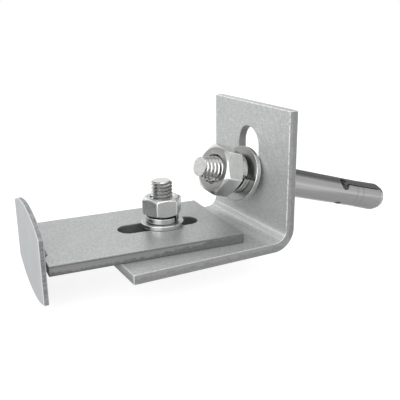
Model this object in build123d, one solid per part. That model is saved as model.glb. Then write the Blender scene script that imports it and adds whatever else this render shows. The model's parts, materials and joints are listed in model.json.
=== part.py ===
from build123d import *
import math
import os

# Cladding bracket for stone facades, in millimetres.
# X runs out from the wall, Y along the wall, Z up.
# The origin is on the wall face, level with the underside of the leg, at mid width.

# Angle bracket
BRACKET_WIDTH = 50.0
BRACKET_HEIGHT = 50.3
BRACKET_REACH = 62.5
BRACKET_THICKNESS = 3.5
BEND_INNER_RADIUS = 4.5
EDGE_BREAK = 0.25

# Upright slot, for the anchor
WALL_SLOT_WIDTH = 13.5
WALL_SLOT_LENGTH = 26.0
WALL_SLOT_HEIGHT = 28.2
WALL_SLOT_SIDE = -0.6

# Cross slot in the leg, for the arm bolt
CROSS_SLOT_WIDTH = 9.0
CROSS_SLOT_LENGTH = 24.0
CROSS_SLOT_REACH = 38.0

# Slide plate with its slot, and how it is set in the photograph
ARM_LENGTH = 69.2
ARM_WIDTH = 44.2
ARM_THICKNESS = 3.5
ARM_SLOT_WIDTH = 9.0
ARM_SLOT_LENGTH = 30.7
ARM_SLOT_FROM_END = 9.0
ARM_REACH_SETTING = 13.7
ARM_SIDE_SETTING = -5.3
ARM_SWIVEL_SETTING = -4.6

# End plate, welded across the outer end of the slide plate
END_PLATE_WIDTH = 48.0
END_PLATE_THICKNESS = 1.8
END_PLATE_SIDE_HEIGHT = 22.0
END_PLATE_HEIGHT = 30.5
END_PLATE_RISE = 0.7
END_PLATE_GAP = 0.9
WELD_LEG = 2.8
WELD_LENGTH = 24.0
WELD_HOLLOW = 0.35

# M8 bolt set that clamps the slide plate to the leg
ARM_BOLT_DIAMETER = 8.0
ARM_BOLT_LENGTH = 24.0
ARM_BOLT_TIP_CHAMFER = 0.8
ARM_HEX_ACROSS_FLATS = 13.0
ARM_HEAD_HEIGHT = 5.3
ARM_NUT_HEIGHT = 6.5
ARM_NUT_TURN = 52.0
ARM_WASHER_DIAMETER = 16.0
ARM_WASHER_THICKNESS = 1.6
ARM_WASHER_HOLE = 8.4
ARM_SPRING_SECTION = 2.1
ARM_SPRING_RISE = 0.7
ARM_SPRING_SPLIT = 116.0

# M10 sleeve anchor, modelled along its own axis and then hung in the slot
STUD_DIAMETER = 9.8
STUD_TIP_DIAMETER = 7.0
STUD_LEAD_LENGTH = 7.5
STUD_PAST_NUT = 6.2
STUD_CONE_LENGTH = 17.7
STUD_CONE_DIAMETER = 10.6
STUD_NOSE_LENGTH = 3.7
STUD_NOSE_CHAMFER = 1.0
SLEEVE_LENGTH = 82.0
SLEEVE_WALL = 0.8
SLEEVE_GAP = 0.05
SLEEVE_SLITS = 3
SLEEVE_SLIT_WIDTH = 0.5
SLEEVE_SLIT_LENGTH = 25.5
SLEEVE_SLIT_TURN = 42.0
SLEEVE_HOLE_DIAMETER = 5.5
ANCHOR_HEX_ACROSS_FLATS = 17.0
ANCHOR_NUT_HEIGHT = 8.0
ANCHOR_NUT_TURN = 50.0
ANCHOR_WASHER_DIAMETER = 21.0
ANCHOR_WASHER_THICKNESS = 2.0
ANCHOR_WASHER_HOLE = 10.5
ANCHOR_SPRING_SECTION = 2.6
ANCHOR_SPRING_RISE = 2.0
ANCHOR_SPRING_SPLIT = -3.0
ANCHOR_TILT = 17.0
ANCHOR_SWING = 8.0

# Clearances and details shared by like pieces
THREAD_GAP = 0.05
REST_GAP = 0.05
SPRING_BORE_GAP = 0.1
SPRING_SPLIT_ANGLE = 9.0
HEX_FACE_SHARE = 0.955
HEX_CHAMFER_ANGLE = 30.0
COUNTERSINK_DEPTH = 0.45
WASHER_EDGE_BREAK = 0.3

# Places worked out from the sizes above
arm_top = BRACKET_THICKNESS + ARM_THICKNESS
arm_inner_end = -(ARM_SLOT_FROM_END + ARM_REACH_SETTING)
arm_outer_end = arm_inner_end + ARM_LENGTH
end_plate_back = arm_outer_end + END_PLATE_GAP
arm_washer_top = arm_top + ARM_WASHER_THICKNESS
arm_spring_top = arm_washer_top + ARM_SPRING_SECTION + ARM_SPRING_RISE
anchor_spring_top = ANCHOR_WASHER_THICKNESS + ANCHOR_SPRING_SECTION + ANCHOR_SPRING_RISE
anchor_nut_top = anchor_spring_top + ANCHOR_NUT_HEIGHT
stud_tip = anchor_nut_top + STUD_PAST_NUT
stud_radius = STUD_DIAMETER / 2
cone_radius = STUD_CONE_DIAMETER / 2
nose_end = -(SLEEVE_LENGTH + STUD_NOSE_LENGTH)
cone_start = nose_end + STUD_CONE_LENGTH
cone_slope = (cone_radius - stud_radius) / STUD_CONE_LENGTH
sleeve_radius = stud_radius + SLEEVE_GAP + SLEEVE_WALL


def arm_plane():
    """Frame of the slide plate: on the leg, at the bolt, with X along the arm."""
    turn = math.radians(ARM_SWIVEL_SETTING)
    return Plane(
        origin=(CROSS_SLOT_REACH, ARM_SIDE_SETTING, BRACKET_THICKNESS),
        x_dir=(math.cos(turn), math.sin(turn), 0),
        z_dir=(0, 0, 1),
    )


def bolt_plane():
    """Frame of the arm bolt: under the leg, with Z up along the bolt."""
    return Plane(origin=(CROSS_SLOT_REACH, ARM_SIDE_SETTING, 0))


def anchor_plane():
    """Frame of the anchor: at the back of its flat washer, with Z towards the tip.

    The loose anchor droops. Its sleeve rests on the lower end of the slot at the
    wall face, and the upper rim of its washer leans on the front of the upright.
    """
    tilt = math.radians(ANCHOR_TILT)
    swing = math.radians(ANCHOR_SWING)
    axis = Vector(
        math.cos(tilt) * math.cos(swing),
        math.cos(tilt) * math.sin(swing),
        math.sin(tilt),
    )
    side = Vector(0, 0, 1).cross(axis).normalized()
    half_height = sleeve_radius * math.sqrt(1 + (axis.Z / axis.X) ** 2)
    slot_floor = WALL_SLOT_HEIGHT - WALL_SLOT_LENGTH / 2
    at_wall = Vector(0, WALL_SLOT_SIDE, slot_floor + half_height + REST_GAP)
    lean = math.sqrt(1 - axis.X**2)
    washer_reach = BRACKET_THICKNESS + REST_GAP + ANCHOR_WASHER_DIAMETER / 2 * lean
    return Plane(origin=at_wall + axis * (washer_reach / axis.X), x_dir=side, z_dir=axis)


def slot_cut(width, length, depth):
    """Cutter for a slot with round ends, long in X, cut upwards from its plane."""
    return extrude(SlotOverall(length, width), depth)


def break_edges(plate, thickness):
    """Take the sharpness off the sheared edges of a plate."""
    return chamfer(plate.edges(), min(EDGE_BREAK, thickness / 5))


def make_angle_bracket():
    """Folded angle: upright with the wall slot, leg with the cross slot."""
    t = BRACKET_THICKNESS
    upright = Pos(t / 2, BRACKET_HEIGHT / 2) * Rectangle(t, BRACKET_HEIGHT)
    leg = Pos(BRACKET_REACH / 2, t / 2) * Rectangle(BRACKET_REACH, t)
    section = upright + leg
    inner_corner = section.vertices().sort_by_distance((t, t, 0))[0]
    section = fillet(inner_corner, BEND_INNER_RADIUS)
    heel = section.vertices().sort_by_distance((0, 0, 0))[0]
    section = fillet(heel, BEND_INNER_RADIUS + t)
    plate = extrude(Plane.XZ * section, BRACKET_WIDTH / 2, both=True)
    wall_slot = Plane.YZ * Pos(WALL_SLOT_SIDE, WALL_SLOT_HEIGHT) * Rot(0, 0, 90)
    plate -= wall_slot * slot_cut(WALL_SLOT_WIDTH, WALL_SLOT_LENGTH, t)
    cross_slot = Pos(CROSS_SLOT_REACH, 0) * Rot(0, 0, 90)
    plate -= cross_slot * slot_cut(CROSS_SLOT_WIDTH, CROSS_SLOT_LENGTH, t)
    return break_edges(plate, t)


def make_slide_plate():
    """Flat arm with its long slot."""
    blank = extrude(Rectangle(ARM_LENGTH, ARM_WIDTH), ARM_THICKNESS)
    plate = Pos((arm_inner_end + arm_outer_end) / 2, 0) * blank
    slot_middle = ARM_SLOT_LENGTH / 2 - ARM_REACH_SETTING
    plate -= Pos(slot_middle, 0) * slot_cut(ARM_SLOT_WIDTH, ARM_SLOT_LENGTH, ARM_THICKNESS)
    return arm_plane() * break_edges(plate, ARM_THICKNESS)


def make_end_plate():
    """Thin upright plate with straight sides and arched top and bottom."""
    half_width = END_PLATE_WIDTH / 2
    side = END_PLATE_SIDE_HEIGHT / 2
    crown = END_PLATE_HEIGHT / 2
    outline = [
        Line((-half_width, -side), (-half_width, side)),
        ThreePointArc((-half_width, side), (0, crown), (half_width, side)),
        Line((half_width, side), (half_width, -side)),
        ThreePointArc((half_width, -side), (0, -crown), (-half_width, -side)),
    ]
    blank = extrude(make_face(outline), END_PLATE_THICKNESS)
    plate = break_edges(blank, END_PLATE_THICKNESS)
    middle = ARM_THICKNESS / 2 + END_PLATE_RISE
    stand = Plane(origin=(end_plate_back, 0, middle), x_dir=(0, 1, 0), z_dir=(1, 0, 0))
    return arm_plane() * (stand * plate)


def make_end_plate_weld():
    """Weld that fills the gap at the arm's end, with a mitred bead above and below."""
    corner = (end_plate_back, 0)
    toe_out = (end_plate_back - WELD_LEG, 0)
    toe_up = (end_plate_back, WELD_LEG)
    middle = (end_plate_back - WELD_LEG / 2 + WELD_HOLLOW, WELD_LEG / 2 - WELD_HOLLOW)
    outline = [
        Line(corner, toe_out),
        ThreePointArc(toe_out, middle, toe_up),
        Line(toe_up, corner),
    ]
    section = Plane.XZ * make_face(outline)
    toe_half = WELD_LENGTH / 2
    root_half = toe_half + WELD_LEG
    mitred_ends = Polyline(
        (end_plate_back, -root_half),
        (end_plate_back, root_half),
        (end_plate_back - WELD_LEG, toe_half),
        (end_plate_back - WELD_LEG, -toe_half),
        close=True,
    )
    bead = extrude(section, root_half, both=True)
    bead &= extrude(make_face(mitred_ends), WELD_LEG)
    filler = Pos(arm_outer_end + END_PLATE_GAP / 2, 0, ARM_THICKNESS / 2) * Box(
        END_PLATE_GAP, WELD_LENGTH, ARM_THICKNESS
    )
    upper = Pos(0, 0, ARM_THICKNESS) * bead
    lower = mirror(bead, Plane.XY)
    return arm_plane() * (filler + upper + lower)


def hex_blank(across_flats, height, turn, both_ends):
    """Hexagonal prism, its corners turned off at the bottom or at both ends."""
    corner = across_flats / math.sqrt(3)
    face = across_flats / 2 * HEX_FACE_SHARE
    drop = (corner - face) * math.tan(math.radians(HEX_CHAMFER_ANGLE))
    profile = [(0, 0), (face, 0), (corner, drop)]
    if both_ends:
        profile += [(corner, height - drop), (face, height)]
    else:
        profile += [(corner, height)]
    profile += [(0, height)]
    turned = revolve(Plane.XZ * make_face(Polyline(*profile, close=True)), Axis.Z)
    prism = extrude(RegularPolygon(corner, 6, rotation=turn), height)
    return prism & turned


def make_nut(across_flats, height, bore, turn):
    """Hexagon nut, chamfered at both ends, its bore countersunk at the front."""
    nut = hex_blank(across_flats, height, turn, True)
    nut -= Pos(0, 0, height / 2) * Cylinder(bore / 2, height)
    countersink = Cone(bore / 2, bore / 2 + COUNTERSINK_DEPTH, COUNTERSINK_DEPTH)
    return nut - Pos(0, 0, height - COUNTERSINK_DEPTH / 2) * countersink


def make_flat_washer(diameter, hole, thickness):
    """Punched flat washer, its outer edge broken on the upper side."""
    disc = Cylinder(diameter / 2, thickness)
    upper_rim = disc.edges().filter_by(GeomType.CIRCLE).sort_by(Axis.Z)[-1]
    disc = chamfer(upper_rim, min(WASHER_EDGE_BREAK, thickness / 4))
    return Pos(0, 0, thickness / 2) * (disc - Cylinder(hole / 2, thickness))


def make_spring_washer(bore, section, rise, split):
    """Split spring washer: one turn of a square wire, wound left-handed."""
    sweep_angle = 360 - SPRING_SPLIT_ANGLE
    radius = bore / 2 + section / 2
    pitch = rise * 360 / sweep_angle
    path = Helix(pitch, rise, radius, lefthand=True)
    start = Plane(origin=path @ 0, x_dir=(1, 0, 0), z_dir=path % 0)
    ring = sweep(start * Rectangle(section, section), path, is_frenet=True)
    turn = split - SPRING_SPLIT_ANGLE / 2
    return Rot(0, 0, turn) * Pos(0, 0, section / 2) * ring


def make_arm_bolt():
    """Hexagon bolt from below: head under the leg, shank up through both slots."""
    head = Pos(0, 0, -ARM_HEAD_HEIGHT) * hex_blank(
        ARM_HEX_ACROSS_FLATS, ARM_HEAD_HEIGHT, 0, False
    )
    shank = Cylinder(ARM_BOLT_DIAMETER / 2, ARM_BOLT_LENGTH)
    tip = shank.edges().sort_by(Axis.Z)[-1]
    shank = chamfer(tip, ARM_BOLT_TIP_CHAMFER)
    return bolt_plane() * (head + Pos(0, 0, ARM_BOLT_LENGTH / 2) * shank)


def make_anchor_stud():
    """Anchor bolt: tapered lead at the tip, plain shank, cone and chamfered nose."""
    profile = [
        (0, stud_tip),
        (STUD_TIP_DIAMETER / 2, stud_tip),
        (stud_radius, stud_tip - STUD_LEAD_LENGTH),
        (stud_radius, cone_start),
        (cone_radius, nose_end),
        (0, nose_end),
    ]
    stud = revolve(Plane.XZ * make_face(Polyline(*profile, close=True)), Axis.Z)
    nose = stud.edges().filter_by(GeomType.CIRCLE).sort_by(Axis.Z)[0]
    return anchor_plane() * chamfer(nose, STUD_NOSE_CHAMFER)


def make_anchor_sleeve():
    """Expansion sleeve: a thin tube, slit from round holes to its flared end."""
    flare = cone_slope * (cone_start + SLEEVE_LENGTH)
    bore = stud_radius + SLEEVE_GAP
    profile = [
        (bore, 0),
        (sleeve_radius, 0),
        (sleeve_radius, cone_start),
        (sleeve_radius + flare, -SLEEVE_LENGTH),
        (bore + flare, -SLEEVE_LENGTH),
        (bore, cone_start),
    ]
    tube = revolve(Plane.XZ * make_face(Polyline(*profile, close=True)), Axis.Z)
    reach = 2 * sleeve_radius
    hole_place = SLEEVE_SLIT_LENGTH - SLEEVE_LENGTH
    slit = Pos(reach / 2, 0, hole_place - SLEEVE_SLIT_LENGTH / 2) * Box(
        reach, SLEEVE_SLIT_WIDTH, SLEEVE_SLIT_LENGTH
    )
    hole = Pos(reach / 2, 0, hole_place) * Rot(0, 90, 0) * Cylinder(
        SLEEVE_HOLE_DIAMETER / 2, reach
    )
    for index in range(SLEEVE_SLITS):
        turn = Rot(0, 0, SLEEVE_SLIT_TURN + index * 360 / SLEEVE_SLITS)
        tube -= turn * (slit + hole)
    return anchor_plane() * tube


def make_arm_fasteners():
    """Flat washer, spring washer and nut stacked on the arm bolt."""
    place = bolt_plane()
    washer = make_flat_washer(ARM_WASHER_DIAMETER, ARM_WASHER_HOLE, ARM_WASHER_THICKNESS)
    spring = make_spring_washer(
        ARM_BOLT_DIAMETER + 2 * SPRING_BORE_GAP,
        ARM_SPRING_SECTION,
        ARM_SPRING_RISE,
        ARM_SPRING_SPLIT,
    )
    nut = make_nut(
        ARM_HEX_ACROSS_FLATS,
        ARM_NUT_HEIGHT,
        ARM_BOLT_DIAMETER + 2 * THREAD_GAP,
        ARM_NUT_TURN,
    )
    return {
        "arm_flat_washer": place * (Pos(0, 0, arm_top) * washer),
        "arm_spring_washer": place * (Pos(0, 0, arm_washer_top) * spring),
        "arm_nut": place * (Pos(0, 0, arm_spring_top) * nut),
    }


def make_anchor_fasteners():
    """Flat washer, spring washer and nut stacked on the anchor stud."""
    place = anchor_plane()
    washer = make_flat_washer(
        ANCHOR_WASHER_DIAMETER, ANCHOR_WASHER_HOLE, ANCHOR_WASHER_THICKNESS
    )
    spring = make_spring_washer(
        STUD_DIAMETER + 2 * SPRING_BORE_GAP,
        ANCHOR_SPRING_SECTION,
        ANCHOR_SPRING_RISE,
        ANCHOR_SPRING_SPLIT,
    )
    nut = make_nut(
        ANCHOR_HEX_ACROSS_FLATS,
        ANCHOR_NUT_HEIGHT,
        STUD_DIAMETER + 2 * THREAD_GAP,
        ANCHOR_NUT_TURN,
    )
    return {
        "anchor_flat_washer": place * washer,
        "anchor_spring_washer": place * (Pos(0, 0, ANCHOR_WASHER_THICKNESS) * spring),
        "anchor_nut": place * (Pos(0, 0, anchor_spring_top) * nut),
    }


nodes = {
    "angle_bracket": make_angle_bracket(),
    "slide_plate": make_slide_plate(),
    "end_plate": make_end_plate(),
    "end_plate_weld": make_end_plate_weld(),
    "arm_bolt": make_arm_bolt(),
    "anchor_stud": make_anchor_stud(),
    "anchor_sleeve": make_anchor_sleeve(),
}
nodes.update(make_arm_fasteners())
nodes.update(make_anchor_fasteners())

os.makedirs("parts", exist_ok=True)
for name, solid in nodes.items():
    export_step(solid, f"parts/{name}.step")
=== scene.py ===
import json
import math

import bmesh
import bpy
from bpy.props import FloatProperty, FloatVectorProperty, PointerProperty
from mathutils import Matrix, Vector


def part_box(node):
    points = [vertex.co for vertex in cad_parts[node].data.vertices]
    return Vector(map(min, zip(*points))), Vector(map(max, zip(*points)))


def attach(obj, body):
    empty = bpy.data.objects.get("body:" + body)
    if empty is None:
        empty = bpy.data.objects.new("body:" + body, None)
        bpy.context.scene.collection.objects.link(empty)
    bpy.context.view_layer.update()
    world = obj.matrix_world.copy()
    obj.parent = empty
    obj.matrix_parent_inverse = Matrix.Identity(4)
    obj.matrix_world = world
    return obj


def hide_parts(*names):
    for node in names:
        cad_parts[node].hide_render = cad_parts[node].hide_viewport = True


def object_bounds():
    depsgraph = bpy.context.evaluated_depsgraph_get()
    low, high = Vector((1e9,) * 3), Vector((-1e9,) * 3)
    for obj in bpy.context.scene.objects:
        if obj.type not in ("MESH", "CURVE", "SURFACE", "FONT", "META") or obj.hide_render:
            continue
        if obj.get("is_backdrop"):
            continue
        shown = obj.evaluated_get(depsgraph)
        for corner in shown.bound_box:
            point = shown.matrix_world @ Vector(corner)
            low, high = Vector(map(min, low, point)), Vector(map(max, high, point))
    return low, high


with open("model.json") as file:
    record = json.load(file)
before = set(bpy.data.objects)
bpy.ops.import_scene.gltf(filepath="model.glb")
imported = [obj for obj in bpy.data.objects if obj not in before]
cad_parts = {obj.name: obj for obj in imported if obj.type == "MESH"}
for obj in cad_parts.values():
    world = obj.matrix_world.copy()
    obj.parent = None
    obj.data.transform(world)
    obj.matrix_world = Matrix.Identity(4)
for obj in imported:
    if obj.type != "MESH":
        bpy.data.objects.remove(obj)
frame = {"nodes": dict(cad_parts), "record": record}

bl_info = {
    "name": "Cladding bracket",
    "version": (1, 0, 0),
    "blender": (4, 5, 0),
    "location": "View3D > Sidebar > Bracket",
    "description": "Finishes, threads and studio for an adjustable cladding bracket",
    "category": "Object",
}

MM = 0.001
SMOOTH_ANGLE = math.radians(50)
MERGE_DISTANCE = 0.002 * MM
SEAT_GAP = 0.02 * MM
TABLE_GAP = 0.2 * MM
BEND_RADIUS = 4.5 * MM

# Distances from mid width between which the walls of the plates' slots stop
SLOT_ZONE = (9 * MM, 12 * MM)

# Marks of the press in the bend and a burnished band, real marks painted brighter as the
# bend's highlight: X less Z, and half width
WIDE_PRESS_LINE = (-1.6 * MM, 0.7 * MM)
THIN_PRESS_LINE = (1.3 * MM, 0.35 * MM)
BURNISHED_BAND = (-0.2 * MM, 2.6 * MM)

# Places along the anchor, from the back of its flat washer. Between the last two the stud is
# painted dark as shade inside its sleeve
SLEEVE_RINGS = (-65.2 * MM, -69.2 * MM)
OILED_FROM = -82 * MM
OILED_TO = -13 * MM

# Depths of the threads in pitches, and of the painted shade in their roots
BOLT_THREAD_DEPTH = 0.613
STUD_THREAD_DEPTH = 0.55
GRIME_DEPTH = 0.45 * MM

# Hexagons: round face as a part of the width across flats, slope of the chamfer, half a side
HEX_FACE = 0.925
HEX_SLOPE = math.tan(math.radians(30))
HALF_SIDE = math.radians(30)

COLUMNS = 72
ROWS_PER_PITCH = 16
COIL_STEPS = 96
ROLL_STEPS = 4
FLAT_STEPS = 12
WASHER_COLUMNS = 96
PIXELS = 400
SENSOR_WIDTH = 36.0


# Places and sizes read from the frame

def anchor_frame():
    """Frame of the anchor: at the back of its washer, with Z towards the tip."""
    mounts = {mount["name"]: mount for mount in frame["record"]["mounts"]}
    sleeve = mounts["anchor_sleeve_wall"]
    out = -Vector(sleeve["axis"]).normalized()
    origin = Vector(sleeve["pos_m"]) + out * sleeve["dims"]["length_mm"] * MM / 2
    side = Vector((0, 0, 1)).cross(out).normalized()
    turn = Matrix((side, out.cross(side), out)).transposed().to_4x4()
    return Matrix.Translation(origin) @ turn


def bolt_frame():
    """Frame of the arm bolt: level with the underside of the leg, with Z up."""
    low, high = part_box("arm_bolt")
    leg_low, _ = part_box("angle_bracket")
    return Matrix.Translation(((low.x + high.x) / 2, (low.y + high.y) / 2, leg_low.z))


def local_points(node, place):
    """Corners of a CAD node in a frame of its own."""
    inverse = place.inverted()
    return [inverse @ v.co for v in frame["nodes"][node].data.vertices]


def span(points):
    """Lowest and highest point along Z."""
    heights = [p.z for p in points]
    return min(heights), max(heights)


def reach(points):
    """Smallest and largest distance from the Z axis."""
    radii = [math.hypot(p.x, p.y) for p in points]
    return min(radii), max(radii)


def heading(point):
    """Angle of a point around the Z axis."""
    return math.atan2(point.y, point.x)


# Sizes and colours that a user would change

def colour(label, text, value):
    return FloatVectorProperty(
        name=label, description=text, default=value, size=3, min=0, max=1, subtype="COLOR"
    )


def length(label, text, millimetres):
    return FloatProperty(
        name=label, description=text, default=millimetres * MM, precision=5, unit="LENGTH"
    )


def share(label, text, value):
    return FloatProperty(
        name=label, description=text, default=value, min=0, max=1, subtype="FACTOR"
    )


def power(label, text, value):
    return FloatProperty(name=label, description=text, default=value, min=0, unit="POWER")


class SteelSettings(bpy.types.PropertyGroup):
    """Colours and finishes of the bracket's steels."""

    angle: colour("Angle", "Pickled plate of the angle", (0.615, 0.63, 0.63))
    arm: colour("Arm", "Pickled plate of the arm", (0.43, 0.445, 0.445))
    sheared: colour("Sheared side", "Cut sides of the plates", (0.37, 0.375, 0.37))
    torn: colour("Torn side", "Torn part of the cut sides", (0.15, 0.155, 0.15))
    end_plate: colour("End plate", "Rolled sheet of the end plate", (0.55, 0.57, 0.58))
    weld: colour("Weld", "Weld bead", (0.30, 0.29, 0.27))
    bright: colour("Stud steel", "Bright steel of the stud", (0.64, 0.64, 0.63))
    washer: colour("Washer steel", "Washers, arm bolt and anchor nut", (0.70, 0.705, 0.69))
    arm_nut: colour("Arm nut steel", "Nut of the arm", (0.76, 0.765, 0.76))
    sleeve: colour("Sleeve steel", "Drawn sleeve of the anchor", (0.49, 0.495, 0.49))
    plate_roughness: share("Plate roughness", "Roughness of the pickled plate", 0.44)
    plate_metal: share("Plate metal", "Mirroring share of the pickled plate", 0.38)
    arm_roughness: share("Arm roughness", "Roughness of the arm's faces", 0.38)
    arm_metal: share("Arm metal", "Mirroring share of the arm's faces", 0.60)
    bright_roughness: share("Bright roughness", "Roughness of bolts and nuts", 0.13)
    washer_roughness: share("Washer roughness", "Roughness of the washers", 0.16)
    sleeve_roughness: share("Sleeve roughness", "Roughness of the sleeve", 0.20)
    frosted: colour("Frosted steel", "Cropped end of the stud", (0.74, 0.74, 0.73))
    # Painted shade: colour of the stud inside its sleeve
    oiled: colour("Painted sleeve shade", "Stud inside its sleeve", (0.10, 0.10, 0.10))
    grain: length("Grain", "Size of the plate's grain", 0.8)


class FastenerSettings(bpy.types.PropertyGroup):
    """Threads, hexagons and edges of the fasteners."""

    bolt_pitch: length("Bolt pitch", "Pitch of the arm bolt's thread", 1.25)
    bolt_radius: length("Bolt radius", "Outer radius of the arm bolt's thread", 4.0)
    bolt_chamfer: length("Bolt chamfer", "Chamfer at the arm bolt's tip", 0.8)
    bolt_flats: length("Arm hexagons", "Width across flats of arm bolt and nut", 13.0)
    stud_pitch: length("Stud pitch", "Pitch of the anchor stud's thread", 1.5)
    stud_radius: length("Stud radius", "Outer radius of the anchor stud", 4.9)
    stud_tip: length("Stud tip radius", "Radius at the end of the tapered lead", 3.5)
    stud_lead: length("Stud lead", "Length of the tapered lead", 7.5)
    stud_thread: length("Stud thread end", "Depth of the thread behind the washer", 12.0)
    stud_cone: length("Stud cone", "Length of the cone", 17.7)
    stud_cone_radius: length("Cone radius", "Radius at the thick end of the cone", 5.3)
    stud_nose: length("Nose chamfer", "Chamfer of the stud's nose", 1.0)
    anchor_flats: length("Anchor hexagon", "Width across flats of the anchor nut", 17.0)
    hex_rounding: length("Hexagon rounding", "Radius of the hexagons' corners", 0.30)
    arm_countersink: length("Arm nut countersink", "Depth of the arm nut's countersink", 0.35)
    anchor_countersink: length("Anchor nut countersink", "Depth of its countersink", 0.8)
    soft_edge: length("Soft edge", "Rounding of turned and punched edges", 0.14)
    rolled_edge: length("Rolled edge", "Rounding of the washers' upper rims", 0.3)


class StudioSettings(bpy.types.PropertyGroup):
    """Camera and light."""

    camera: FloatVectorProperty(
        name="Camera", description="Place of the camera", unit="LENGTH", precision=5,
        default=(128.867 * MM, 191.512 * MM, 84.259 * MM),
    )
    camera_turn: FloatVectorProperty(
        name="Camera turn", description="Heading, tilt and roll of the camera in degrees",
        default=(-118.514, -17.4601, -0.5898),
    )
    focal: FloatProperty(name="Focal length", description="In pixels", default=615.647)
    table: length("Table", "Radius of the table", 900)
    table_paint: share("Table paint", "Grey of the table's paint", 0.35)
    table_white: share("Table white", "White that the camera sees besides the paint", 0.83)
    table_mirror: share("Table mirror", "White that reflections see besides the paint", 0.62)
    sky: share("Sky", "Light of the tent on matt surfaces", 0.85)
    roof: share("Roof", "Brightness of the tent's roof in reflections", 0.75)
    rim: share("Rim", "Brightness of the corner at the back right in reflections", 0.2)
    left_rim: share("Left rim", "Brightness of the tent at the back left in reflections", 0.5)
    left: power("Left softbox", "Power of the softbox on the front left", 2.2)
    back: power("Back softbox", "Power of the softbox behind", 0.2)
    top: power("Top softbox", "Power of the softbox overhead", 0.9)


# Node helpers

class Tree:
    """Adds nodes to a node tree and links them."""

    def __init__(self, tree):
        self.nodes = tree.nodes
        self.links = tree.links

    def add(self, kind, **settings):
        node = self.nodes.new(kind)
        for name, value in settings.items():
            setattr(node, name, value)
        return node

    def feed(self, socket, value):
        if isinstance(value, bpy.types.NodeSocket):
            self.links.new(value, socket)
        else:
            socket.default_value = value

    def maths(self, operation, *values):
        node = self.add("ShaderNodeMath", operation=operation)
        for socket, value in zip(node.inputs, values):
            self.feed(socket, value)
        return node.outputs[0]

    def product(self, first, *others):
        for other in others:
            first = self.maths("MULTIPLY", first, other)
        return first

    def largest(self, first, *others):
        for other in others:
            first = self.maths("MAXIMUM", first, other)
        return first

    def absolute(self, value):
        return self.maths("ABSOLUTE", value)

    def noise(self, vector, scale, detail=3.0, roughness=0.55):
        node = self.add("ShaderNodeTexNoise")
        self.feed(node.inputs["Vector"], vector)
        self.feed(node.inputs["Scale"], scale)
        node.inputs["Detail"].default_value = detail
        node.inputs["Roughness"].default_value = roughness
        return node.outputs["Fac"]

    def stretched(self, vector, scale):
        node = self.add("ShaderNodeMapping")
        self.feed(node.inputs["Vector"], vector)
        node.inputs["Scale"].default_value = scale
        return node.outputs[0]

    def step(self, value, low, high, out_low=0.0, out_high=1.0):
        node = self.add("ShaderNodeMapRange", interpolation_type="SMOOTHSTEP")
        for name, item in (
            ("Value", value), ("From Min", low), ("From Max", high),
            ("To Min", out_low), ("To Max", out_high),
        ):
            self.feed(node.inputs[name], item)
        return node.outputs["Result"]

    def fall(self, value, low, high):
        """Mask that is 1 up to low and 0 from high."""
        return self.step(value, low, high, 1.0, 0.0)

    def inverse(self, value):
        return self.maths("SUBTRACT", 1.0, value)

    def line(self, value, centre, half_width):
        """Mask of a thin line where a value passes its centre."""
        off = self.absolute(self.maths("SUBTRACT", value, centre))
        return self.fall(off, half_width / 2, half_width)

    def blend(self, factor, first, second):
        """Mix of two colours. A mix node lists its colour sockets after other kinds."""
        node = self.add("ShaderNodeMix", data_type="RGBA")
        self.feed(node.inputs["Factor"], factor)
        self.feed(node.inputs[6], first)
        self.feed(node.inputs[7], second)
        return node.outputs[2]

    def darkened(self, share_black, surface):
        return self.blend(share_black, surface, opaque((0, 0, 0)))

    def split(self, vector):
        node = self.add("ShaderNodeSeparateXYZ")
        self.feed(node.inputs[0], vector)
        return node.outputs

    def group(self, name, **values):
        tree = bpy.data.node_groups.get(name) or GROUP_MAKERS[name]()
        node = self.add("ShaderNodeGroup", node_tree=tree)
        for label, value in values.items():
            self.feed(node.inputs[label], value)
        return node.outputs


def new_group(name, inputs, outputs):
    """Empty shader node group with named sockets. An input without a value is a vector."""
    tree = bpy.data.node_groups.new(name, "ShaderNodeTree")
    for label, value in inputs.items():
        kind = "NodeSocketVector" if value is None else "NodeSocketFloat"
        socket = tree.interface.new_socket(label, in_out="INPUT", socket_type=kind)
        if value is not None:
            socket.default_value = value
    for label in outputs:
        tree.interface.new_socket(label, in_out="OUTPUT", socket_type="NodeSocketFloat")
    t = Tree(tree)
    return tree, t, t.add("NodeGroupInput").outputs, t.add("NodeGroupOutput").inputs


def grain_group():
    """Fine speckle, glints for painted highlights, and broad patches of pickled steel."""
    tree, t, given, made = new_group(
        "Steel grain", {"Vector": None, "Grain": 0.5 * MM, "Patch": 9 * MM},
        ["Speckle", "Glints", "Patches"],
    )
    fineness = t.maths("DIVIDE", 1.0, given["Grain"])
    fine = t.noise(given["Vector"], fineness, 2.0, 0.7)
    glint = t.noise(given["Vector"], t.product(fineness, 1.7), 1.0, 0.5)
    broad = t.noise(given["Vector"], t.maths("DIVIDE", 1.0, given["Patch"]), 4.0, 0.6)
    t.feed(made["Speckle"], t.step(fine, 0.3, 0.7))
    t.feed(made["Glints"], t.step(glint, 0.63, 0.72))
    t.feed(made["Patches"], t.step(broad, 0.35, 0.65))
    return tree


def edge_group():
    """Mask of broken edges for painted edge light: faces that lie square to no side of the
    plate.
    """
    tree, t, given, made = new_group(
        "Edge wear", {"Vector": None, "Normal": None, "Amount": 1.0, "Ragged": 1.0}, ["Mask"]
    )
    parts = [t.absolute(part) for part in t.split(given["Normal"])]
    slanted = t.fall(t.largest(*parts), 0.80, 0.96)
    # Ragged patches of the painted edge light
    worn = t.step(t.noise(given["Vector"], 900.0, 2.0), 0.3, 0.6)
    worn = t.largest(worn, t.inverse(given["Ragged"]))
    t.feed(made["Mask"], t.product(slanted, worn, given["Amount"]))
    return tree


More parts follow.
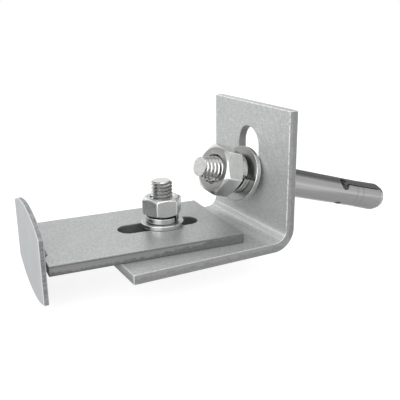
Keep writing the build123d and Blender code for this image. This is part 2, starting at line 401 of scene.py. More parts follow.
def shear_group():
    """Sheared side: smooth band by the punched face, torn metal beyond it."""
    tree, t, given, made = new_group(
        "Sheared side", {"Vector": None, "Depth": 0.5}, ["Torn", "Height"]
    )
    ragged = t.maths("SUBTRACT", t.noise(given["Vector"], 420.0, 3.0), 0.5)
    edge = t.maths("ADD", given["Depth"], t.product(ragged, 0.9))
    torn = t.fall(edge, 0.45, 0.70)
    rough = t.noise(given["Vector"], 1500.0, 4.0, 0.7)
    t.feed(made["Torn"], t.product(torn, t.step(rough, 0.15, 0.45)))
    t.feed(made["Height"], t.product(rough, t.maths("ADD", torn, 0.3)))
    return tree


def tarnish_group():
    """Slight uneven dulling and fine scratches of bright steel."""
    tree, t, given, made = new_group("Tarnish", {"Vector": None}, ["Dull", "Scratches"])
    t.feed(made["Dull"], t.step(t.noise(given["Vector"], 260.0, 3.0), 0.35, 0.70))
    long = t.stretched(given["Vector"], (1.0, 0.15, 0.6))
    t.feed(made["Scratches"], t.step(t.noise(long, 3200.0, 2.0), 0.58, 0.72))
    return tree


GROUP_MAKERS = {
    "Steel grain": grain_group,
    "Edge wear": edge_group,
    "Sheared side": shear_group,
    "Tarnish": tarnish_group,
}


def opaque(rgb, factor=1.0):
    """Colour with alpha, made darker or lighter by a factor."""
    return (*(min(1.0, part * factor) for part in rgb), 1.0)


def cleared_tree(owner, output="ShaderNodeOutputMaterial"):
    """Empty node tree of a material or a world, and the socket of its surface."""
    owner.use_nodes = True
    t = Tree(owner.node_tree)
    t.nodes.clear()
    return t, t.add(output).inputs["Surface"]


def new_steel(name):
    """Empty steel material, with its tree, shader and coordinates."""
    material = bpy.data.materials.new(name)
    t, out = cleared_tree(material)
    shader = t.add("ShaderNodeBsdfPrincipled")
    t.feed(out, shader.outputs[0])
    shader.inputs["Metallic"].default_value = 1.0
    return material, t, shader.inputs, t.add("ShaderNodeTexCoord").outputs


def add_bump(t, shader, height, depth):
    """Relief of a height from 0 to 1 over a depth in metres."""
    bump = t.add("ShaderNodeBump")
    bump.inputs["Distance"].default_value = depth
    t.feed(bump.inputs["Height"], height)
    t.links.new(bump.outputs[0], shader["Normal"])


# Finishes

def plate_material(
    name, settings, base, finish, cuts, wear, press_lines=None, dulled=None
):
    """Pickled plate: speckled faces with painted glints, sheared sides, broken edges with
    painted light and shade, and press lines painted bright as highlights.

    finish gives the mirroring share and the roughness.
    cuts gives where the plate is cut, the depth in the cut, where the cut gets painted shade,
    and the colours of the smooth and the torn part.
    The argument after cuts gives the tone painted on broken edges (above 1 a painted highlight,
    below 1 a painted shade line), where it is painted, and how ragged.
    Places, depths and press_lines are functions that make masks, and so is the last argument,
    for an area of painted shade.
    """
    metal, rough = finish
    cut_side, cut_depth, dark_cut, sheared, torn = cuts
    worn_tone, wear_amount, ragged = wear
    material, t, shader, where = new_steel(name)
    at, facing = where["Object"], where["Normal"]
    place, normal = t.split(at), t.split(facing)
    grain = t.group("Steel grain", Vector=at, Grain=settings.grain)
    surface = t.blend(grain["Patches"], opaque(base, 0.97), opaque(base))
    surface = t.blend(grain["Speckle"], t.darkened(0.19, surface), surface)
    # Painted glints: bright specks that stand for highlights
    surface = t.blend(t.product(grain["Glints"], 0.6), surface, opaque(base, 1.5))
    # Painted shade: a darker area where the mask is
    if dulled:
        surface = t.blend(dulled(t, place, normal), surface, t.darkened(0.22, surface))
    side = cut_side(t, place, normal)
    shear = t.group("Sheared side", Vector=at, Depth=cut_depth(t, place))
    cut = t.blend(shear["Torn"], opaque(sheared), opaque(torn))
    cut = t.blend(t.product(grain["Speckle"], 0.2), cut, opaque(base))
    # Painted shade on the cut sides, as dark as the torn colour
    dark = dark_cut(t, place)
    cut = t.blend(dark, cut, opaque(torn))
    surface = t.blend(side, surface, cut)
    # Broken edges painted in the given tone: lighter is a painted highlight, darker a shade
    # line
    amount = wear_amount(t, place)
    worn = t.group("Edge wear", Vector=at, Normal=facing, Amount=amount, Ragged=ragged)["Mask"]
    worn = t.product(worn, t.inverse(t.product(dark, side)))
    surface = t.blend(worn, surface, opaque(base, worn_tone))
    height = t.product(grain["Speckle"], 0.16)
    height = t.maths("ADD", height, t.product(shear["Height"], side))
    if press_lines:
        lines = press_lines(t, place, normal)
        # Press marks painted brighter: partly real marks, partly painted highlight
        surface = t.blend(t.product(lines, 0.75), surface, opaque(base, 1.7))
        height = t.maths("ADD", height, t.product(lines, 0.6))
    t.feed(shader["Base Color"], surface)
    t.feed(shader["Metallic"], t.step(side, 0.0, 1.0, metal, settings.plate_metal))
    speckled = t.step(grain["Speckle"], 0.0, 1.0, rough + 0.05, rough - 0.05)
    cut_rough = t.product(side, settings.plate_roughness)
    t.feed(shader["Roughness"], t.largest(speckled, cut_rough))
    add_bump(t, shader, height, 0.05 * MM)
    return material


def bracket_material(settings):
    """Angle: cut on its long sides and in its slots, with press lines in the bend painted
    bright as highlights, and painted shade in its slots and on its leg's top.
    """
    low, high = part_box("angle_bracket")
    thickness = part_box("slide_plate")[0].z - low.z
    bend_end = thickness + BEND_RADIUS

    def cut_side(t, place, normal):
        sides = t.step(t.absolute(normal[1]), 0.6, 0.9)
        at_end = t.step(place[0], high.x - MM, high.x - MM / 2)
        end = t.product(t.step(normal[0], 0.6, 0.9), at_end)
        level = t.step(t.absolute(normal[2]), 0.3, 0.6)
        above_bend = t.step(place[2], bend_end + MM, bend_end + 3 * MM)
        below_top = t.fall(place[2], high.z - MM, high.z - MM / 2)
        return t.largest(sides, end, t.product(level, above_bend, below_top))

    def cut_depth(t, place):
        return t.maths("DIVIDE", t.maths("MINIMUM", place[0], place[2]), thickness)

    # Painted shade on the walls of the slots, below the top
    def dark_cut(t, place):
        near_middle = t.fall(t.absolute(place[1]), *SLOT_ZONE)
        below_top = t.fall(place[2], high.z - 3 * MM, high.z - 2 * MM)
        return t.product(near_middle, below_top)

    # Where broken edges get painted highlights: on the upright, and at the leg's end
    def wear_amount(t, place):
        upright = t.step(place[2], bend_end, bend_end + 2 * MM)
        leg_end = t.step(place[0], high.x - 1.5 * MM, high.x - 0.5 * MM, 0.0, 0.8)
        return t.largest(upright, leg_end)

    # Painted shade: the leg's top past the bend, darker
    def dulled(t, place, normal):
        past_bend = t.step(place[0], 9.5 * MM, 13 * MM)
        return t.product(past_bend, t.step(normal[2], 0.8, 0.95))

    # Press marks in the bend, painted bright as the bend's highlight
    def press_lines(t, place, normal):
        across = t.maths("SUBTRACT", place[0], place[2])
        inner = t.step(t.maths("ADD", normal[0], normal[2]), 0.9, 1.0)
        off = t.largest(place[0], place[2])
        near = t.fall(off, bend_end + 1.5 * MM, bend_end + 2 * MM)
        lines = t.largest(*(
            t.product(t.line(across, *line), strength)
            for line, strength in (
                (WIDE_PRESS_LINE, 1.0), (THIN_PRESS_LINE, 0.8), (BURNISHED_BAND, 0.35)
            )
        ))
        fine = t.add("ShaderNodeCombineXYZ")
        t.feed(fine.inputs[0], t.product(across, 1.0 / MM))
        t.feed(fine.inputs[1], t.product(place[1], 0.06 / MM))
        streaks = t.step(t.noise(fine.outputs[0], 2.2, 3.0), 0.35, 0.65, 0.35, 1.0)
        return t.product(inner, near, streaks, lines)

    streaked = [0.75 * part for part in settings.sheared]
    cuts = (cut_side, cut_depth, dark_cut, settings.sheared, streaked)
    # Broken edges painted 1.4 times lighter: painted highlights
    wear = (1.4, wear_amount, 1.0)
    finish = (settings.plate_metal, settings.plate_roughness)
    return plate_material(
        "Angle steel", settings, settings.angle, finish, cuts, wear, press_lines, dulled
    )


def slide_material(settings):
    """Arm: cut along its sides and ends, with painted shade on its cut sides: a dark line under
    the upper edge, a contact shadow along the lower edge, in the slot and towards the leg.
    """
    low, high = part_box("slide_plate")

    def cut_side(t, place, normal):
        return t.fall(t.absolute(normal[2]), 0.3, 0.6)

    def cut_depth(t, place):
        depth = t.maths("DIVIDE", t.maths("SUBTRACT", place[2], low.z), high.z - low.z)
        # Torn further, and so darker, towards the bend over the leg: partly torn texture,
        # partly painted shade
        return t.maths("ADD", depth, t.step(place[0], low.x, low.x + 45 * MM, -0.35, 0.25))

    # Painted shade: slot walls, a line below the top, a contact shadow at the bottom
    def dark_cut(t, place):
        off = t.absolute(t.maths("SUBTRACT", place[1], (low.y + high.y) / 2))
        slot = t.fall(off, *SLOT_ZONE)
        upper_edge = t.step(place[2], high.z - 0.65 * MM, high.z - 0.5 * MM, 0.0, 0.85)
        lower_edge = t.step(place[2], low.z + 0.25 * MM, low.z + 0.45 * MM, 0.9, 0.0)
        return t.largest(slot, upper_edge, lower_edge)

    def wear_amount(t, place):
        return 1.0

    # The arm's sheared sides a fifth darker: painted shade
    dark = [0.8 * part for part in settings.sheared]
    cuts = (cut_side, cut_depth, dark_cut, dark, settings.torn)
    finish = (settings.arm_metal, settings.arm_roughness)
    # Broken edges painted darker: painted shade lines
    wear = (0.36, wear_amount, 0.1)
    return plate_material("Arm steel", settings, settings.arm, finish, cuts, wear)


def end_plate_material(settings):
    """Rolled sheet with small slanted tool marks on its sheared rim, the rim's edge painted
    lighter as a highlight, and painted glints on its faces.
    """
    material, t, shader, where = new_steel("End plate steel")
    at = where["Object"]
    grain = t.group("Steel grain", Vector=at, Grain=settings.grain, Patch=14 * MM)
    outwards = t.absolute(t.split(where["Normal"])[0])
    face = t.step(outwards, 0.86, 0.93)
    edge = t.step(outwards, 0.3, 0.6)
    marks = t.noise(t.stretched(at, (1.0, 0.5, 1.6)), 800.0, 2.0)
    base = settings.end_plate
    surface = t.blend(grain["Patches"], opaque(base, 0.95), opaque(base))
    # Painted glints: bright specks that stand for highlights
    surface = t.blend(t.product(grain["Glints"], 0.3), surface, opaque(base, 1.3))
    rim = t.blend(t.step(marks, 0.35, 0.65), opaque(base, 0.40), opaque(base, 0.64))
    # The rim's edge painted lighter: painted highlight
    rim = t.blend(edge, rim, opaque(base, 1.35))
    t.feed(shader["Base Color"], t.blend(face, rim, surface))
    t.feed(shader["Roughness"], t.step(grain["Speckle"], 0.0, 1.0, 0.50, 0.42))
    shader["Metallic"].default_value = settings.plate_metal
    shader["Specular Tint"].default_value = (0.7, 0.71, 0.72, 1.0)
    height = t.product(marks, t.inverse(face))
    height = t.maths("ADD", t.product(grain["Speckle"], 0.3), height)
    add_bump(t, shader, height, 0.03 * MM)
    return material


def weld_material(settings):
    """Weld bead with the ripples of its passes."""
    material, t, shader, where = new_steel("Weld metal")
    ripple = t.add("ShaderNodeTexWave", wave_type="BANDS", bands_direction="Y")
    t.feed(ripple.inputs["Vector"], where["Object"])
    ripple.inputs["Scale"].default_value = 260.0
    ripple.inputs["Distortion"].default_value = 3.0
    tint = t.noise(where["Object"], 500.0)
    base = settings.weld
    t.feed(shader["Base Color"], t.blend(tint, opaque(base, 0.7), opaque(base)))
    t.feed(shader["Roughness"], t.step(tint, 0.3, 0.7, 0.3, 0.5))
    add_bump(t, shader, ripple.outputs["Fac"], 0.08 * MM)
    return material


def local_vector(t, where, place):
    """Point of the surface in a fastener's own frame."""
    local = t.add("ShaderNodeMapping", vector_type="TEXTURE")
    t.feed(local.inputs["Vector"], where["Object"])
    local.inputs["Location"].default_value = place.to_translation()
    local.inputs["Rotation"].default_value = place.to_euler()
    return local.outputs[0]


def axis_distance(t, where, place):
    """Distance of the surface from a fastener's axis."""
    local = t.split(local_vector(t, where, place))
    squares = [t.product(part, part) for part in local[:2]]
    return t.maths("SQRT", t.maths("ADD", *squares))


def bright_material(name, base, roughness, place, face_tone, corner=None, root=None):
    """Bright fastener steel, slightly tarnished and scratched. Its faces square to the axis are
    darker: partly a duller turned finish, partly painted shade.

    A hexagon's corners, at the given radius, are painted bright as highlights. A thread's
    roots, at theirs, are painted dark as shade.
    """
    material, t, shader, where = new_steel(name)
    tarnish = t.group("Tarnish", Vector=where["Object"])
    facing = t.add("ShaderNodeVectorMath", operation="DOT_PRODUCT")
    t.feed(facing.inputs[0], where["Normal"])
    facing.inputs[1].default_value = place.col[2].xyz
    turned = t.step(t.absolute(facing.outputs["Value"]), 0.97, 0.995)
    surface = t.blend(tarnish["Dull"], opaque(base, 0.93), opaque(base))
    surface = t.blend(t.product(tarnish["Scratches"], 0.3), surface, opaque(base, 0.7))
    if root:
        radius = axis_distance(t, where, place)
        # Thread roots painted darker: painted shade
        grimy = t.fall(radius, root, root + GRIME_DEPTH)
        surface = t.blend(grimy, surface, opaque(base, 0.6))
    # Faces square to the axis: partly a duller turned finish, partly painted shade
    surface = t.blend(turned, surface, opaque(base, face_tone))
    dull = turned
    if corner:
        radius = axis_distance(t, where, place)
        # Hexagon corners painted bright: painted highlights
        worn = t.step(radius, corner - 0.16 * MM, corner - 0.06 * MM)
        surface = t.blend(worn, surface, opaque(base, 1.5))
        dull = t.largest(turned, worn)
    t.feed(shader["Base Color"], surface)
    rough = t.step(tarnish["Dull"], 0.0, 1.0, roughness + 0.05, roughness)
    t.feed(shader["Roughness"], t.maths("ADD", rough, t.product(dull, 0.15)))
    add_bump(t, shader, tarnish["Dull"], 0.008 * MM)
    return material


def stud_material(settings):
    """Bright stud: frosted where it was cropped, painted dark inside its sleeve as shade."""
    place = anchor_frame()
    _, tip = span(local_points("anchor_stud", place))
    material, t, shader, where = new_steel("Stud steel")
    local = local_vector(t, where, place)
    along = t.split(local)[2]
    tarnish = t.group("Tarnish", Vector=where["Object"])
    frost = t.step(along, tip - 0.12 * MM, tip - 0.04 * MM)
    # Painted shade: the stud dark where the sleeve hides it
    hidden = t.product(
        t.fall(along, OILED_TO - MM, OILED_TO + MM),
        t.step(along, OILED_FROM - MM, OILED_FROM + MM),
    )
    brushed = t.noise(t.stretched(local, (0.25, 1.0, 1.0)), 2200.0, 3.0)
    base = settings.bright
    surface = t.blend(tarnish["Dull"], opaque(base, 0.93), opaque(base))
    frosted = t.blend(brushed, opaque(settings.frosted, 0.7), opaque(settings.frosted, 1.3))
    surface = t.blend(frost, surface, frosted)
    surface = t.blend(hidden, surface, opaque(settings.oiled))
    t.feed(shader["Base Color"], surface)
    t.feed(shader["Roughness"], t.step(frost, 0.0, 1.0, settings.bright_roughness, 0.5))
    add_bump(t, shader, t.product(brushed, frost), 0.03 * MM)
    return material


def sleeve_material(settings):
    """Drawn tube: long faint streaks, and two rolled rings near the slit end, painted darker as
    the shade in their grooves.
    """
    material, t, shader, where = new_steel("Sleeve steel")
    local = local_vector(t, where, anchor_frame())
    along = t.split(local)[2]
    streaks = t.noise(t.stretched(local, (1.0, 1.0, 0.02)), 1400.0, 3.0)
    rings = t.largest(*(t.line(along, ring, 0.3 * MM) for ring in SLEEVE_RINGS))
    base = settings.sleeve
    surface = t.blend(t.step(streaks, 0.3, 0.7), opaque(base, 0.92), opaque(base, 1.04))
    # Rolled rings painted darker: painted shade in their grooves
    surface = t.blend(t.product(rings, 0.5), surface, opaque(base, 0.45))
    t.feed(shader["Base Color"], surface)
    rough = settings.sleeve_roughness
    t.feed(shader["Roughness"], t.step(streaks, 0.2, 0.8, rough - 0.05, rough + 0.08))
    add_bump(t, shader, t.maths("SUBTRACT", t.product(streaks, 0.3), rings), 0.02 * MM)
    return material


def add_object(name, data):
    """Object in the scene that shows a mesh, a lamp or a camera."""
    made = bpy.data.objects.new(name, data)
    bpy.context.scene.collection.objects.link(made)
    return made


def dress(node, material):
    """Give a CAD node its finish."""
    mesh = frame["nodes"][node].data
    mesh.materials.clear()
    mesh.materials.append(material)


# Turned, threaded and coiled pieces

def full_turn(columns=COLUMNS):
    """Evenly spaced angles of a full turn."""
    return [2 * math.pi * column / columns for column in range(columns)]


def polar(radius, angle, z):
    """Point at a distance from the Z axis."""
    return radius * math.cos(angle), radius * math.sin(angle), z


def add_lathe(mesh, angles, profile_at, looped=False):
    """Skin of a profile taken around Z. The profile may change with the angle."""
    lines = [[mesh.verts.new(polar(r, a, z)) for r, z in profile_at(a)] for a in angles]
    count = len(lines[0])
    for first, second in zip(lines, lines[1:] + lines[:1]):
        for row in range(count if looped else count - 1):
            after = (row + 1) % count
            mesh.faces.new((first[row], second[row], second[after], first[after]))


def thread_depth(phase):
    """Depth of a thread at a share of its pitch: 0 on the crest, 1 in the root."""
    crest = 1 / 16
    root = 1 / 8
    off = min(phase, 1 - phase)
    return min(1.0, max(0.0, (off - crest) / (0.5 - crest - root)))


def add_thread(mesh, low, high, pitch, depth, outline, cone=None):
    """Right-hand thread from low to high. outline gives the crest's radius at a height.

    It fades out at the low end. With a cone it runs out through it at the high end, otherwise
    it fades there too.
    """
    rise = pitch / ROWS_PER_PITCH
    rows = int(math.ceil((high - low) / rise)) + 3 * ROWS_PER_PITCH
    lines = []
    for column, angle in enumerate(full_turn()):
        line = []
        for row in range(rows + 1):
            z = low - 2 * pitch + row * rise + pitch * column / COLUMNS
            phase = (row / ROWS_PER_PITCH) % 1.0
            z = min(high, max(low, z))
            fade = min(1.0, (z - low) / (0.5 * pitch))
            if not cone:
                fade = min(fade, (high - z) / (0.5 * pitch))
            radius = outline(z) - depth * thread_depth(phase) * fade
            if cone:
                radius = min(radius, cone(z))
            line.append(mesh.verts.new(polar(radius, angle, z)))
        lines.append(line)
    for column, line in enumerate(lines):
        wraps = column == COLUMNS - 1
        other = lines[0] if wraps else lines[column + 1]
        shift = ROWS_PER_PITCH if wraps else 0
        for row in range(rows - shift):
            beside = row + shift
            mesh.faces.new((line[row], other[beside], other[beside + 1], line[row + 1]))


def close_ends(mesh, *heights):
    """Close the open rings of a turned mesh at the given heights."""
    bmesh.ops.remove_doubles(mesh, verts=mesh.verts, dist=MERGE_DISTANCE)
    for z in heights:
        edges = [
            e for e in mesh.edges
            if e.is_boundary and all(abs(v.co.z - z) < MERGE_DISTANCE for v in e.verts)
        ]
        bmesh.ops.contextual_create(mesh, geom=edges)


def rounded_corner(flats, rounding):
    """Distance of a hexagon corner's centre from the axis, and where its arc ends."""
    centre = (flats / 2 - rounding) / math.cos(HALF_SIDE)
    tangent = math.atan2(rounding / 2, centre + rounding * math.cos(HALF_SIDE))
    return centre, tangent


def corner_radius(flats, rounding):
    """Distance from the axis to a hexagon's rounded corner."""
    centre, _ = rounded_corner(flats, rounding)
    return centre + rounding


def hex_radius(angle, flats, rounding):
    """Distance from the axis to a hexagon with rounded corners, a corner at angle 0."""
    centre, tangent = rounded_corner(flats, rounding)
    off = abs((angle + HALF_SIDE) % (2 * HALF_SIDE) - HALF_SIDE)
    if off < tangent:
        return centre * math.cos(off) + math.sqrt(rounding**2 - (centre * math.sin(off))**2)
    return flats / 2 / math.cos(HALF_SIDE - off)


def hex_angles(flats, rounding):
    """Angles around a hexagon, close together at its rounded corners."""
    _, tangent = rounded_corner(flats, rounding)
    corner = [tangent * part for part in (-1, -0.5, 0, 0.5)]
    flat_length = 2 * (HALF_SIDE - tangent)
    flat = [tangent + flat_length * part / FLAT_STEPS for part in range(FLAT_STEPS)]
    return [2 * HALF_SIDE * side + a for side in range(6) for a in corner + flat]


def add_hexagon(mesh, settings, flats, low, high, turn, bore=None, countersink=0.0):
    """Hexagon between two heights, chamfered, with a countersunk bore if it is a nut."""
    face = flats / 2 * HEX_FACE
    soft = settings.soft_edge
    step = soft * HEX_SLOPE / 2
    rounding = settings.hex_rounding

    def profile(angle):
        rim = hex_radius(angle - turn, flats, rounding)
        drop = (rim - face) * HEX_SLOPE
        points = [
            (face - soft, low), (face + soft / 2, low + step),
            (rim - soft / 2, low + drop - step), (rim, low + drop + soft),
        ]
        if not bore:
            return points + [(rim, high)]
        mouth = bore + countersink
        return points + [
            (rim, high - drop - soft), (rim - soft / 2, high - drop + step),
            (face + soft / 2, high - step), (face - soft, high),
            (mouth + soft / 2, high), (mouth - soft / 2, high - soft),
            (bore, high - countersink), (bore, low),
        ]

    angles = [a + turn for a in hex_angles(flats, rounding)]
    add_lathe(mesh, angles, profile, looped=bool(bore))
    if not bore:
        close_ends(mesh, low, high)


def add_flat_washer(mesh, settings, inner, outer, low, high):
    """Punched washer: its upper rim rolled over, its other edges slightly soft."""
    soft = settings.soft_edge / 2
    rolled = settings.rolled_edge
    profile = [
        (inner, low + soft), (inner + soft, low),
        (outer - 3 * soft, low), (outer - soft, low + soft), (outer, low + 3 * soft),
    ]
    for part in range(ROLL_STEPS + 1):
        roll = math.pi / 2 * part / ROLL_STEPS
        radius = outer - rolled * (1 - math.cos(roll))
        profile.append((radius, high - rolled * (1 - math.sin(roll))))
    profile += [(inner + soft, high), (inner, high - soft)]
    add_lathe(mesh, full_turn(WASHER_COLUMNS), lambda angle: profile, looped=True)


def add_coil(mesh, settings, inner, outer, low, high, start, sweep):
    """Split spring washer, wound left-handed from its low end."""
    half = (outer - inner) / 2
    middle = (inner + outer) / 2
    rise = high - low - 2 * half
    rounding = 2 * settings.soft_edge
    corners = []
    for quarter in range(4):
        for part in (0, 0.5, 1):
            angle = math.pi / 2 * (quarter + part)
            cx = (half - rounding) * (1 if quarter in (0, 3) else -1)
            cz = (half - rounding) * (1 if quarter in (0, 1) else -1)
            corners.append((cx + rounding * math.cos(angle), cz + rounding * math.sin(angle)))
    rings = []
    for step in range(COIL_STEPS + 1):
        part = step / COIL_STEPS
        angle = start - sweep * part
        centre = low + half + rise * part
        places = [polar(middle + r, angle, centre + z) for r, z in corners]
        rings.append([mesh.verts.new(place) for place in places])
    for first, second in zip(rings, rings[1:]):
        for index, vertex in enumerate(first):
            after = (index + 1) % len(first)
            mesh.faces.new((vertex, second[index], second[after], first[after]))
    mesh.faces.new(rings[0])
    mesh.faces.new(rings[-1])


def finish_piece(mesh, name, place, material, body, node):
    """Turn a mesh in the making into a piece that stands for its CAD node."""
    bmesh.ops.remove_doubles(mesh, verts=mesh.verts, dist=MERGE_DISTANCE)
    bmesh.ops.dissolve_degenerate(mesh, edges=mesh.edges, dist=MERGE_DISTANCE)
    bmesh.ops.recalc_face_normals(mesh, faces=mesh.faces)
    data = bpy.data.meshes.new(name)
    mesh.to_mesh(data)
    mesh.free()
    data.transform(place)
    data.shade_smooth()
    data.set_sharp_from_angle(angle=SMOOTH_ANGLE)
    data.materials.append(material)
    piece = add_object(name, data)
    weighted = piece.modifiers.new("Flat flats", "WEIGHTED_NORMAL")
    weighted.mode = "FACE_AREA"
    weighted.weight = 80
    weighted.keep_sharp = True
    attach(piece, body)
    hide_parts(node)


def replace_nut(settings, owner, place, flats, countersink, material, body):
    """Nut with rounded corners in the place of the arm's or the anchor's CAD node."""
    node = f"{owner}_nut"
    points = local_points(node, place)
    low, high = span(points)
    bore, _ = reach(points)
    turn = heading(max(points, key=lambda p: math.hypot(p.x, p.y)))
    mesh = bmesh.new()
    add_hexagon(mesh, settings, flats, low, high, turn, bore, countersink)
    finish_piece(mesh, f"hexagon_{node}", place, material, body, node)


def replace_flat_washer(settings, owner, place, material, body):
    """Flat washer with a rolled rim in the place of its CAD node, a hair off its seat."""
    node = f"{owner}_flat_washer"
    points = local_points(node, place)
    low, high = span(points)
    mesh = bmesh.new()
    add_flat_washer(mesh, settings, *reach(points), low + SEAT_GAP, high)
    name = f"punched_{owner}_washer"
    finish_piece(mesh, name, place, material, body, node)


def replace_spring_washer(settings, owner, place, material, body):
    """Spring washer with soft edges in the place of its CAD node."""
    node = f"{owner}_spring_washer"
    points = local_points(node, place)
    low, high = span(points)
    start = heading(min(points, key=lambda p: p.z))
    end = heading(max(points, key=lambda p: p.z))
    sweep = (start - end) % (2 * math.pi)
    mesh = bmesh.new()
    add_coil(mesh, settings, *reach(points), low, high, start, sweep)
    name = f"coiled_{owner}_washer"
    finish_piece(mesh, name, place, material, body, node)


# Operators

class BRACKET_OT_plates(bpy.types.Operator):
    """Finish the angle, the slide plate, the end plate and its weld"""

    bl_idname = "bracket.plates"
    bl_label = "Plates"

    def execute(self, context):
        steel = context.scene.bracket_steel
        dress("angle_bracket", bracket_material(steel))
        dress("slide_plate", slide_material(steel))
        dress("end_plate", end_plate_material(steel))
        dress("end_plate_weld", weld_material(steel))
        return {"FINISHED"}


class BRACKET_OT_arm_fasteners(bpy.types.Operator):
    """Make the threaded arm bolt, its nut and its washers"""

    bl_idname = "bracket.arm_fasteners"
    bl_label = "Arm fasteners"

    def execute(self, context):
        steel = context.scene.bracket_steel
        sizes = context.scene.bracket_fasteners
        place = bolt_frame()
        rough = steel.bright_roughness
        depth = BOLT_THREAD_DEPTH * sizes.bolt_pitch
        root = sizes.bolt_radius - depth
        bolt = bright_material("Arm bolt steel", steel.washer, rough, place, 0.95, root=root)
        corner = corner_radius(sizes.bolt_flats, sizes.hex_rounding)
        nut = bright_material("Arm nut steel", steel.arm_nut, rough + 0.10, place, 0.75, corner)
        rough = steel.washer_roughness
        washer = bright_material("Arm washer steel", steel.washer, rough, place, 0.6)
        self.add_bolt(sizes, place, depth, bolt)
        countersink = sizes.arm_countersink
        replace_nut(sizes, "arm", place, sizes.bolt_flats, countersink, nut, "arm_fixing")
        replace_flat_washer(sizes, "arm", place, washer, "arm_washer")
        replace_spring_washer(sizes, "arm", place, washer, "arm_fixing")
        return {"FINISHED"}

    def add_bolt(self, sizes, place, depth, material):
        """Hexagon bolt, threaded along its shank from half way up its head."""
        low, high = span(local_points("arm_bolt", place))
        start = low / 2
        mesh = bmesh.new()

        def outline(z):
            return sizes.bolt_radius

        def cone(z):
            return sizes.bolt_radius - sizes.bolt_chamfer + (high - z)

        add_thread(mesh, start, high, sizes.bolt_pitch, depth, outline, cone)
        close_ends(mesh, start, high)
        add_hexagon(mesh, sizes, sizes.bolt_flats, low, 0.0, 0.0)
        name = "threaded_arm_bolt"
        finish_piece(mesh, name, place, material, "arm_fixing", "arm_bolt")


class BRACKET_OT_anchor(bpy.types.Operator):
    """Make the threaded anchor stud, its nut and its washers, and finish the sleeve"""

    bl_idname = "bracket.anchor"
    bl_label = "Anchor"

    def execute(self, context):
        steel = context.scene.bracket_steel
        sizes = context.scene.bracket_fasteners
        place = anchor_frame()
        corner = corner_radius(sizes.anchor_flats, sizes.hex_rounding)
        rough = steel.bright_roughness
        nut = bright_material("Anchor nut steel", steel.washer, rough, place, 0.56, corner)
        rough = steel.washer_roughness
        washer = bright_material("Anchor washer steel", steel.washer, rough, place, 0.6)
        self.add_stud(sizes, place, stud_material(steel))
        dress("anchor_sleeve", sleeve_material(steel))
        countersink = sizes.anchor_countersink
        replace_nut(sizes, "anchor", place, sizes.anchor_flats, countersink, nut, "anchor")
        replace_flat_washer(sizes, "anchor", place, washer, "anchor")
        replace_spring_washer(sizes, "anchor", place, washer, "anchor")
        return {"FINISHED"}

    def add_stud(self, sizes, place, material):
        """Stud with a threaded, tapered lead, a plain shank, a cone and a nose."""
        nose, tip = span(local_points("anchor_stud", place))
        thread_low = -sizes.stud_thread
        mesh = bmesh.new()

        def outline(z):
            taper = (sizes.stud_radius - sizes.stud_tip) / sizes.stud_lead
            return min(sizes.stud_radius, sizes.stud_tip + (tip - z) * taper)

        depth = STUD_THREAD_DEPTH * sizes.stud_pitch
        add_thread(mesh, thread_low, tip, sizes.stud_pitch, depth, outline)
        thick = sizes.stud_cone_radius
        profile = [
            (sizes.stud_radius, thread_low),
            (sizes.stud_radius, nose + sizes.stud_cone),
            (thick, nose + sizes.stud_nose),
            (thick - sizes.stud_nose, nose),
        ]
        add_lathe(mesh, full_turn(), lambda angle: profile)
        close_ends(mesh, nose, tip)
        name = "threaded_anchor_stud"
        finish_piece(mesh, name, place, material, "anchor", "anchor_stud")


def add_softbox(name, place, aim, size, watts):
    """Square area light, aimed at a point. Its place and size are in metres."""
    lamp = bpy.data.lights.new(name, "AREA")
    lamp.shape = "SQUARE"
    lamp.size = size
    lamp.energy = watts
    light = add_object(name, lamp)
    light.location = place
    light.rotation_euler = (Vector(aim) - Vector(place)).to_track_quat("-Z", "Y").to_euler()


def camera_turn(studio):
    """Rotation of the camera from heading, tilt and roll."""
    yaw, pitch, roll = (math.radians(angle) for angle in studio.camera_turn)
    level = math.cos(pitch)
    ahead = Vector((level * math.cos(yaw), level * math.sin(yaw), math.sin(pitch)))
    right = ahead.cross(Vector((0, 0, 1))).normalized()
    up = right.cross(ahead)
    rolled_right = right * math.cos(roll) + up * math.sin(roll)
    rolled_up = up * math.cos(roll) - right * math.sin(roll)
    return Matrix((rolled_right, rolled_up, -ahead)).transposed().to_4x4()


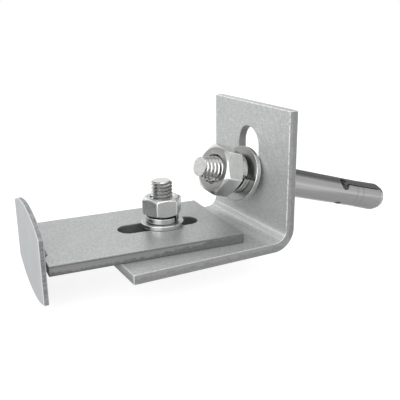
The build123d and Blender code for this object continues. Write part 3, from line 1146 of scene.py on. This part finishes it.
class BRACKET_OT_stage(bpy.types.Operator):
    """Set up the table, the tent, the light and the camera"""

    bl_idname = "bracket.stage"
    bl_label = "Stage"

    def execute(self, context):
        scene = context.scene
        studio = scene.bracket_studio
        low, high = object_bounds()
        self.add_table(low.z, studio)
        self.add_tent(scene, studio)
        for name, place, size, watts in (
            ("Left softbox", (0.62, 0.38, 0.25), 0.68, studio.left),
            ("Back softbox", (-0.06, -0.62, 0.42), 0.35, studio.back),
            ("Top softbox", (-0.05, 0.15, 0.70), 0.45, studio.top),
        ):
            add_softbox(name, place, (low + high) / 2, size, watts)
        data = bpy.data.cameras.new("Camera")
        data.sensor_width = SENSOR_WIDTH
        data.lens = studio.focal * SENSOR_WIDTH / PIXELS
        data.clip_start = 5 * MM
        camera = add_object("Camera", data)
        camera.matrix_world = Matrix.Translation(studio.camera) @ camera_turn(studio)
        scene.camera = camera
        scene.view_settings.view_transform = "Standard"
        return {"FINISHED"}

    def add_table(self, height, studio):
        """Pale round table that keeps the object's soft shadow.

        It looks white to the camera. Reflections see it dim in front, dark at the back
        right, and with a dim strip under the anchor. Places are in metres from its centre.
        """
        mesh = bmesh.new()
        bmesh.ops.create_circle(mesh, cap_ends=True, segments=64, radius=studio.table)
        data = bpy.data.meshes.new("table")
        mesh.to_mesh(data)
        mesh.free()
        table = add_object("table", data)
        table.location.z = height - TABLE_GAP
        material = bpy.data.materials.new("Table paint")
        t, out = cleared_tree(material)
        paint = t.add("ShaderNodeBsdfDiffuse")
        paint.inputs["Color"].default_value = opaque([studio.table_paint] * 3)
        path = t.add("ShaderNodeLightPath").outputs
        place = t.split(t.add("ShaderNodeTexCoord").outputs["Object"])
        front = t.product(t.step(place[1], 0.01, 0.06), t.step(place[0], -0.10, -0.03))
        right = t.fall(place[0], -0.20, -0.10)
        corner = t.product(right, t.fall(place[1], -0.08, 0.0))
        behind = t.fall(place[0], -0.005, 0.01)
        under = t.product(t.line(place[1], 0.006, 0.026), behind)
        white = t.inverse(t.largest(t.product(front, 0.85), t.product(under, 0.6), corner))
        mirrored = t.product(path["Is Glossy Ray"], white, studio.table_mirror)
        seen = t.product(path["Is Camera Ray"], studio.table_white)
        glow = t.add("ShaderNodeEmission")
        t.feed(glow.inputs["Strength"], t.largest(seen, mirrored))
        both = t.add("ShaderNodeAddShader")
        t.feed(both.inputs[0], paint.outputs[0])
        t.feed(both.inputs[1], glow.outputs[0])
        t.feed(out, both.outputs[0])
        data.materials.append(material)
        table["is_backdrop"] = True

    def add_tent(self, scene, studio):
        """White to the camera, a white tent with a dim roof and two dim corners to reflections.

        The masks' limits are parts of the ray's direction.
        """
        world = bpy.data.worlds.new("Tent")
        scene.world = world
        t, out = cleared_tree(world, "ShaderNodeOutputWorld")
        path = t.add("ShaderNodeLightPath").outputs
        way = t.split(t.add("ShaderNodeTexCoord").outputs["Generated"])
        roof = t.step(way[2], 0.45, 0.95, 1.0, studio.roof)
        low_down = t.fall(way[2], 0.58, 0.75)
        wallwards = t.fall(way[0], -0.64, -0.46)
        depth = t.step(way[1], -0.10, 0.15, 1.0, 0.4)
        rim = t.step(t.product(low_down, wallwards, depth), 0.0, 1.0, 1.0, studio.rim)
        outwards = t.product(t.step(way[0], 0.2, 0.5), t.step(way[2], 0.1, 0.3))
        left = t.product(outwards, t.fall(way[1], -0.45, -0.15))
        left_rim = t.step(left, 0.0, 1.0, 1.0, studio.left_rim)
        tent = t.product(roof, rim, left_rim)
        seen = t.blend(path["Is Glossy Ray"], opaque([studio.sky] * 3), tent)
        seen = t.blend(path["Is Camera Ray"], seen, opaque((1, 1, 1)))
        sky = t.add("ShaderNodeBackground")
        t.feed(sky.inputs["Color"], seen)
        t.feed(out, sky.outputs[0])


class BRACKET_PT_panel(bpy.types.Panel):
    """Lists the steps that dress the bracket."""

    bl_idname = "BRACKET_PT_panel"
    bl_label = "Cladding bracket"
    bl_space_type = "VIEW_3D"
    bl_region_type = "UI"
    bl_category = "Bracket"

    def draw(self, context):
        for operator in OPERATORS:
            self.layout.operator(operator.bl_idname)


OPERATORS = (BRACKET_OT_plates, BRACKET_OT_arm_fasteners, BRACKET_OT_anchor, BRACKET_OT_stage)
SETTINGS = {
    "bracket_steel": SteelSettings,
    "bracket_fasteners": FastenerSettings,
    "bracket_studio": StudioSettings,
}
CLASSES = (*SETTINGS.values(), *OPERATORS, BRACKET_PT_panel)


def register():
    for made in CLASSES:
        bpy.utils.register_class(made)
    for name, group in SETTINGS.items():
        setattr(bpy.types.Scene, name, PointerProperty(type=group))


def unregister():
    for name in SETTINGS:
        delattr(bpy.types.Scene, name)
    for made in reversed(CLASSES):
        bpy.utils.unregister_class(made)


def main():
    register()
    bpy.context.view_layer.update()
    bpy.ops.bracket.plates()
    bpy.ops.bracket.arm_fasteners()
    bpy.ops.bracket.anchor()
    bpy.ops.bracket.stage()


if __name__ == "__main__":
    main()
